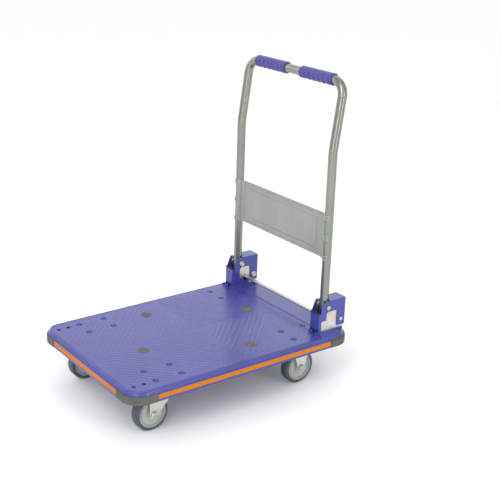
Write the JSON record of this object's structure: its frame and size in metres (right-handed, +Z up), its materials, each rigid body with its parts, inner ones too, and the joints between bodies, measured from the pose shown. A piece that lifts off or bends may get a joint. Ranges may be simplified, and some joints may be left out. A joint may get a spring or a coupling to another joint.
{
  "type": "folding platform cart",
  "caption": "Platform cart with a ribbed resin deck, corner bumpers, swivel and rigid casters, and a bent-tube push handle that folds flat over the deck.",
  "frame": {"origin": "on the floor under the middle of the deck", "axes": "+Z up; +Y along the deck towards the handle and the person who pushes; +X towards that person's left"},
  "size_m": [0.514, 0.744, 0.894],
  "materials": {
    "deck_resin": "moulded resin, slightly glossy",
    "cover_resin": "glossy moulded resin",
    "trim_insert": "glossy extruded insert",
    "bumper_rubber": "matt rubber",
    "pressed_steel": "zinc plated pressing",
    "fastener_steel": "zinc plated",
    "handle_paint": "silver grey metallic paint",
    "grip_foam": "soft sleeve",
    "tyre_rubber": "solid rubber tread",
    "wheel_resin": "moulded nylon",
    "bearing_steel": "ground steel"
  },
  "bodies": {
    "chassis": {"deck": "deck_resin", "side_strips": "trim_insert", "end_strips": "trim_insert", "front_left_bumper": "bumper_rubber", "front_right_bumper": "bumper_rubber", "rear_left_bumper": "bumper_rubber", "rear_right_bumper": "bumper_rubber", "deck_pads": "bumper_rubber", "stand_left": "pressed_steel", "stand_right": "pressed_steel", "cover_left": "cover_resin", "cover_right": "cover_resin", "handle_rests": "bumper_rubber", "pivot_pins": "fastener_steel", "pivot_washers": "pressed_steel", "latch_pins": "fastener_steel", "stand_bolts": "fastener_steel", "stand_nuts": "fastener_steel", "caster_bolts": "fastener_steel", "caster_nuts": "fastener_steel", "swivel_plate_left": "pressed_steel", "swivel_plate_right": "pressed_steel", "swivel_balls_left": "fastener_steel", "swivel_balls_right": "fastener_steel", "kingpin_left": "fastener_steel", "kingpin_right": "fastener_steel", "kingpin_nuts": "fastener_steel", "rigid_fork_left": "pressed_steel", "rigid_fork_right": "pressed_steel", "rear_axles": "fastener_steel", "rear_axle_nuts": "fastener_steel"},
    "handle": {"handle_tube": "handle_paint", "tie_panel": "handle_paint", "panel_rivets": "fastener_steel", "grip_left": "grip_foam", "grip_right": "grip_foam", "lock_plate_left": "pressed_steel", "lock_plate_right": "pressed_steel"},
    "latch": {"latch_lever_left": "pressed_steel", "latch_lever_right": "pressed_steel", "release_bar": "fastener_steel", "latch_springs": "fastener_steel"},
    "front_swivel_left": {"swivel_fork_left": "pressed_steel", "front_axle_left": "fastener_steel", "front_axle_nut_left": "fastener_steel"},
    "front_wheel_left": {"front_tyre_left": "tyre_rubber", "front_wheel_centre_left": "wheel_resin", "front_bearing_left": "bearing_steel"},
    "rear_wheel_left": {"rear_tyre_left": "tyre_rubber", "rear_wheel_centre_left": "wheel_resin", "rear_bearing_left": "bearing_steel"},
    "front_swivel_right": {"swivel_fork_right": "pressed_steel", "front_axle_right": "fastener_steel", "front_axle_nut_right": "fastener_steel"},
    "front_wheel_right": {"front_tyre_right": "tyre_rubber", "front_wheel_centre_right": "wheel_resin", "front_bearing_right": "bearing_steel"},
    "rear_wheel_right": {"rear_tyre_right": "tyre_rubber", "rear_wheel_centre_right": "wheel_resin", "rear_bearing_right": "bearing_steel"}
  },
  "joints": [
    {"name": "handle_fold", "type": "hinge", "parent": "chassis", "child": "handle", "pos_m": [0, 0.2965, 0.234], "axis": [1, 0, 0], "range_deg": [0, 90]},
    {"name": "latch_press", "type": "hinge", "parent": "chassis", "child": "latch", "pos_m": [0, 0.345, 0.1905], "axis": [1, 0, 0], "range_deg": [0, 15], "stiffness_Nm_per_rad": 1.5, "springref_deg": -22.92},
    {"name": "front_swivel_turn_left", "type": "hinge", "parent": "chassis", "child": "front_swivel_left", "pos_m": [0.1785, -0.231, 0.1], "axis": [0, 0, 1], "continuous": true},
    {"name": "front_wheel_spin_left", "type": "hinge", "parent": "front_swivel_left", "child": "front_wheel_left", "pos_m": [0.1785, -0.271, 0.05], "axis": [1, 0, 0], "continuous": true},
    {"name": "rear_wheel_spin_left", "type": "hinge", "parent": "chassis", "child": "rear_wheel_left", "pos_m": [0.1785, 0.231, 0.05], "axis": [1, 0, 0], "continuous": true},
    {"name": "front_swivel_turn_right", "type": "hinge", "parent": "chassis", "child": "front_swivel_right", "pos_m": [-0.1785, -0.231, 0.1], "axis": [0, 0, 1], "continuous": true},
    {"name": "front_wheel_spin_right", "type": "hinge", "parent": "front_swivel_right", "child": "front_wheel_right", "pos_m": [-0.1785, -0.271, 0.05], "axis": [1, 0, 0], "continuous": true},
    {"name": "rear_wheel_spin_right", "type": "hinge", "parent": "chassis", "child": "rear_wheel_right", "pos_m": [-0.1785, 0.231, 0.05], "axis": [1, 0, 0], "continuous": true}
  ]
}
